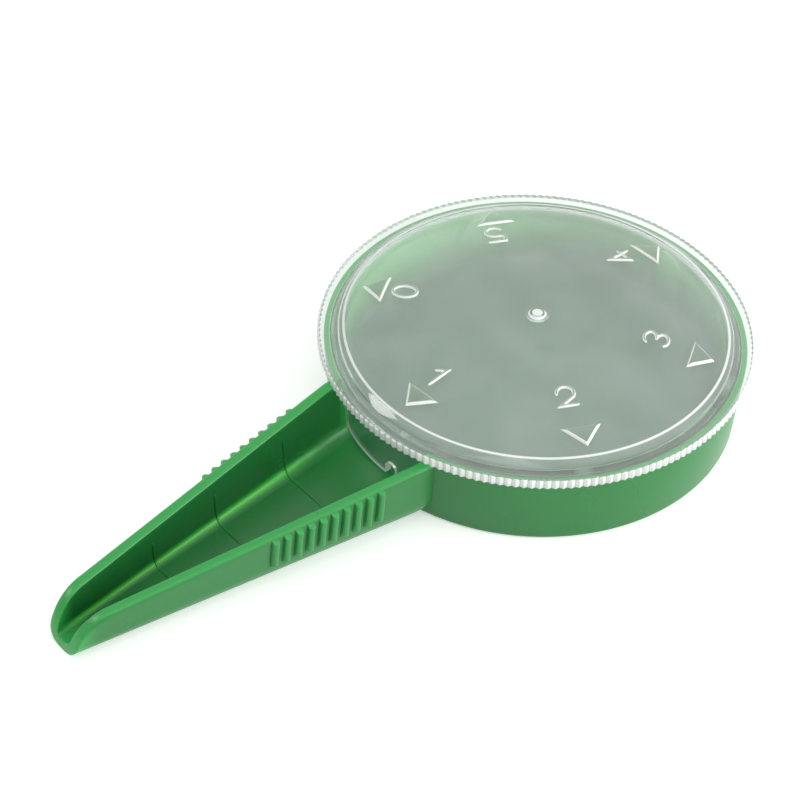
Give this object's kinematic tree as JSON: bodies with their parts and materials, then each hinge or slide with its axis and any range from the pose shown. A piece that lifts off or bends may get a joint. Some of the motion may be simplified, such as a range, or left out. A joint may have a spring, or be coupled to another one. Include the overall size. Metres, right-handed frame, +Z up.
{
  "type": "dial seed sower",
  "caption": "Hand seed sower: round seed cup with a tapered open spout, and a clear dial lid whose ported skirt turns to let seeds out by size.",
  "frame": {"origin": "on the dial's axis, at the flat underside that the sower rests on", "axes": "+Z up along the dial's axis, -X along the spout to its tip, +Y across"},
  "size_m": [0.1195, 0.0658, 0.0168],
  "materials": {
    "green_body": "semi-gloss moulded polypropylene",
    "clear_dial": "clear moulded polystyrene",
    "raised_marks": "clear, raised in the mould"
  },
  "bodies": {
    "housing": {"seed_cup": "green_body", "spout": "green_body", "left_grip_ribs": "green_body", "right_grip_ribs": "green_body"},
    "dial": {"dial_cover": "clear_dial", "knurled_rim": "clear_dial", "port_skirt": "clear_dial", "dial_numerals": "raised_marks", "dial_pointers": "raised_marks"}
  },
  "joints": [
    {"name": "dial_turn", "type": "hinge", "parent": "housing", "child": "dial", "pos_m": [0, 0, 0], "axis": [0, 0, 1], "continuous": true}
  ]
}
